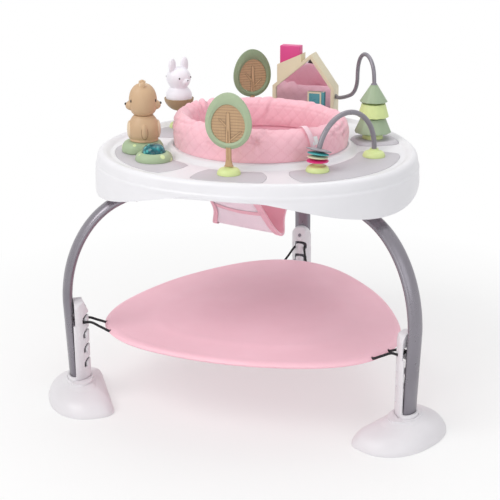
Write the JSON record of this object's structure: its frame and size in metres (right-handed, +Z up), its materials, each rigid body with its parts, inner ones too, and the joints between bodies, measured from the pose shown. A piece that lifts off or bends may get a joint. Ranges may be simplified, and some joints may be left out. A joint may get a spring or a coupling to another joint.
{
  "type": "baby activity center",
  "caption": "Three-legged activity center: round toy tray with a turning fabric sling seat above a bouncing rounded-triangle platform on elastic loops.",
  "frame": {"origin": "on the floor under the middle of the object's box", "axes": "+X to the right, +Y to the back, +Z up; the front tree and the two front legs face -Y"},
  "size_m": [0.7982, 0.7365, 0.6609],
  "materials": {
    "arch_disk_cream": "satin plastic",
    "arch_disk_grey": "satin plastic",
    "arch_disk_magenta": "satin plastic",
    "arch_disk_teal": "satin plastic",
    "arch_grey": "grey plastic tube",
    "bear_tan": "tan plastic",
    "bunny_white": "white plastic",
    "bush_green": "sage green plastic",
    "button_grey": "grey plastic",
    "cup_brown": "brown plastic",
    "elastic_black": "black braided elastic cord",
    "fabric_pink": "quilted pink fabric over foam",
    "foot_white": "satin white plastic",
    "house_beige": "beige plastic",
    "lens_teal": "clear teal plastic",
    "lime": "lime plastic",
    "magenta": "magenta plastic",
    "mirror": "safety mirror plate",
    "pad_grey": "light grey plastic",
    "pine_sage": "sage plastic",
    "platform_pink": "satin pink plastic",
    "ring_white": "white plastic",
    "sage": "sage plastic",
    "silver_paint": "satin silver-grey paint on steel tube",
    "teal_panel": "teal plastic",
    "tray_white": "satin white plastic",
    "underside_white": "white plastic",
    "wire_grey": "grey coated wire",
    "wood": "wood-coloured ribbed plastic"
  },
  "bodies": {
    "frame": {"leg_tube_left": "silver_paint", "leg_casing_left": "foot_white", "foot_left": "foot_white", "leg_tube_right": "silver_paint", "leg_casing_right": "foot_white", "foot_right": "foot_white", "leg_tube_back": "silver_paint", "leg_casing_back": "foot_white", "foot_back": "foot_white", "tray_top": "tray_white", "tray_underside": "underside_white", "pad_bear": "pad_grey", "pad_tree_front": "pad_grey", "pad_arch": "pad_grey", "pad_bunny": "pad_grey", "pad_back": "pad_grey", "pad_pine": "pad_grey", "tree_front_base": "lime", "tree_back_base": "lime", "bunny_base": "lime", "arch_dome_left": "lime", "arch_dome_right": "lime", "arch_tube": "arch_grey", "bush_base": "bush_green", "light_base": "bush_green", "battery_box": "underside_white", "battery_door": "underside_white", "house_frame": "house_beige", "house_mirror": "mirror", "bead_wire": "wire_grey", "pine_base": "lime", "elastic_loop_left": "elastic_black", "elastic_loop_right": "elastic_black", "elastic_loop_back": "elastic_black"},
    "seat": {"seat_ring": "ring_white", "ring_retainer": "ring_white", "seat_cushion": "fabric_pink", "seat_sling": "fabric_pink"},
    "platform": {"platform": "platform_pink"},
    "button_left": {"leg_button_left": "button_grey"},
    "button_right": {"leg_button_right": "button_grey"},
    "button_back": {"leg_button_back": "button_grey"},
    "bear_body": {"bear_body": "bear_tan"},
    "bear_head": {"bear_head": "bear_tan"},
    "light_button": {"light_button": "lens_teal"},
    "bunny_cup": {"bunny_cup": "cup_brown"},
    "bunny_figure": {"bunny_figure": "bunny_white"},
    "tree_front": {"tree_front_trunk": "wood", "tree_front_leaf": "sage"},
    "tree_back": {"tree_back_trunk": "wood", "tree_back_leaf": "sage"},
    "chimney": {"house_chimney": "magenta"},
    "window": {"house_window": "teal_panel"},
    "pine_top": {"pine_tier_top": "pine_sage"},
    "pine_middle": {"pine_tier_middle": "lime"},
    "pine_bottom": {"pine_tier_bottom": "pine_sage"},
    "disk_grey": {"arch_disk_grey": "arch_disk_grey"},
    "disk_teal": {"arch_disk_teal": "arch_disk_teal"},
    "disk_cream": {"arch_disk_cream": "arch_disk_cream"},
    "disk_magenta": {"arch_disk_magenta": "arch_disk_magenta"}
  },
  "joints": [
    {"name": "seat_spin", "type": "hinge", "parent": "frame", "child": "seat", "pos_m": [0, -0.06865, 0.4672], "axis": [0, 0, 1], "continuous": true},
    {"name": "platform_bounce", "type": "slide", "parent": "frame", "child": "platform", "axis": [0, 0, 1], "range_m": [-0.045, 0.008], "stiffness_N_per_m": 2500, "springref_m": 0.00733, "deforming": ["elastic_loop_left", "elastic_loop_right", "elastic_loop_back"]},
    {"name": "leg_button_left_press", "type": "slide", "parent": "frame", "child": "button_left", "axis": [0, 0, 1], "range_m": [0, 0.004], "stiffness_N_per_m": 300, "springref_m": -0.003},
    {"name": "leg_button_right_press", "type": "slide", "parent": "frame", "child": "button_right", "axis": [0, 0, 1], "range_m": [0, 0.004], "stiffness_N_per_m": 300, "springref_m": -0.003},
    {"name": "leg_button_back_press", "type": "slide", "parent": "frame", "child": "button_back", "axis": [0, 0, 1], "range_m": [0, 0.004], "stiffness_N_per_m": 300, "springref_m": -0.003},
    {"name": "bear_body_spin", "type": "hinge", "parent": "frame", "child": "bear_body", "pos_m": [-0.20895, -0.15735, 0.512], "axis": [0, 0, 1], "continuous": true},
    {"name": "bear_head_spin", "type": "hinge", "parent": "bear_body", "child": "bear_head", "pos_m": [-0.20895, -0.15735, 0.562], "axis": [0, 0, 1], "continuous": true},
    {"name": "light_press", "type": "slide", "parent": "frame", "child": "light_button", "axis": [0, 0, -1], "range_m": [0, 0.003], "stiffness_N_per_m": 500, "springref_m": -0.003},
    {"name": "bunny_sway", "type": "hinge", "parent": "frame", "child": "bunny_cup", "pos_m": [-0.20939, 0.05816, 0.5044], "axis": [-0.8554, 0.518, 0], "range_deg": [-10, 10], "stiffness_Nm_per_rad": 3},
    {"name": "bunny_spin", "type": "hinge", "parent": "bunny_cup", "child": "bunny_figure", "pos_m": [-0.20939, 0.05816, 0.5525], "axis": [0, 0, 1], "continuous": true},
    {"name": "tree_front_sway", "type": "hinge", "parent": "frame", "child": "tree_front", "pos_m": [-0.00409, -0.28161, 0.5044], "axis": [-0.0192, -0.9998, 0], "range_deg": [-10, 10], "stiffness_Nm_per_rad": 1},
    {"name": "tree_back_sway", "type": "hinge", "parent": "frame", "child": "tree_back", "pos_m": [-0.07781, 0.15733, 0.5044], "axis": [-0.6293, 0.7771, 0], "range_deg": [-6, 6], "stiffness_Nm_per_rad": 1},
    {"name": "chimney_slide", "type": "slide", "parent": "frame", "child": "chimney", "axis": [0, 0, -1], "range_m": [0, 0.018], "stiffness_N_per_m": 100, "springref_m": -0.015},
    {"name": "window_swing", "type": "hinge", "parent": "frame", "child": "window", "pos_m": [0.07697, 0.15622, 0.506], "axis": [0, 0, 1], "range_deg": [0, 100]},
    {"name": "pine_top_spin", "type": "hinge", "parent": "frame", "child": "pine_top", "pos_m": [0.20315, 0.03397, 0.57], "axis": [0, 0, 1], "continuous": true},
    {"name": "pine_middle_spin", "type": "hinge", "parent": "frame", "child": "pine_middle", "pos_m": [0.20315, 0.03397, 0.54], "axis": [0, 0, 1], "continuous": true},
    {"name": "pine_bottom_spin", "type": "hinge", "parent": "frame", "child": "pine_bottom", "pos_m": [0.20315, 0.03397, 0.509], "axis": [0, 0, 1], "continuous": true},
    {"name": "disk_grey_travel", "type": "hinge", "parent": "frame", "child": "disk_grey", "pos_m": [0.1855, -0.15579, 0.5085], "axis": [-0.8528, 0.5223, 0], "range_deg": [0, 162]},
    {"name": "disk_teal_travel", "type": "hinge", "parent": "frame", "child": "disk_teal", "pos_m": [0.1855, -0.15579, 0.5085], "axis": [-0.8528, 0.5223, 0], "range_deg": [0, 157.4]},
    {"name": "disk_cream_travel", "type": "hinge", "parent": "frame", "child": "disk_cream", "pos_m": [0.1855, -0.15579, 0.5085], "axis": [-0.8528, 0.5223, 0], "range_deg": [0, 152.6]},
    {"name": "disk_magenta_travel", "type": "hinge", "parent": "frame", "child": "disk_magenta", "pos_m": [0.1855, -0.15579, 0.5085], "axis": [-0.8528, 0.5223, 0], "range_deg": [0, 147.7]}
  ],
  "couplings": [
    {"joint": "disk_teal_travel", "follows": "disk_grey_travel", "ratio": 0.97},
    {"joint": "disk_cream_travel", "follows": "disk_grey_travel", "ratio": 0.94},
    {"joint": "disk_magenta_travel", "follows": "disk_grey_travel", "ratio": 0.91}
  ]
}
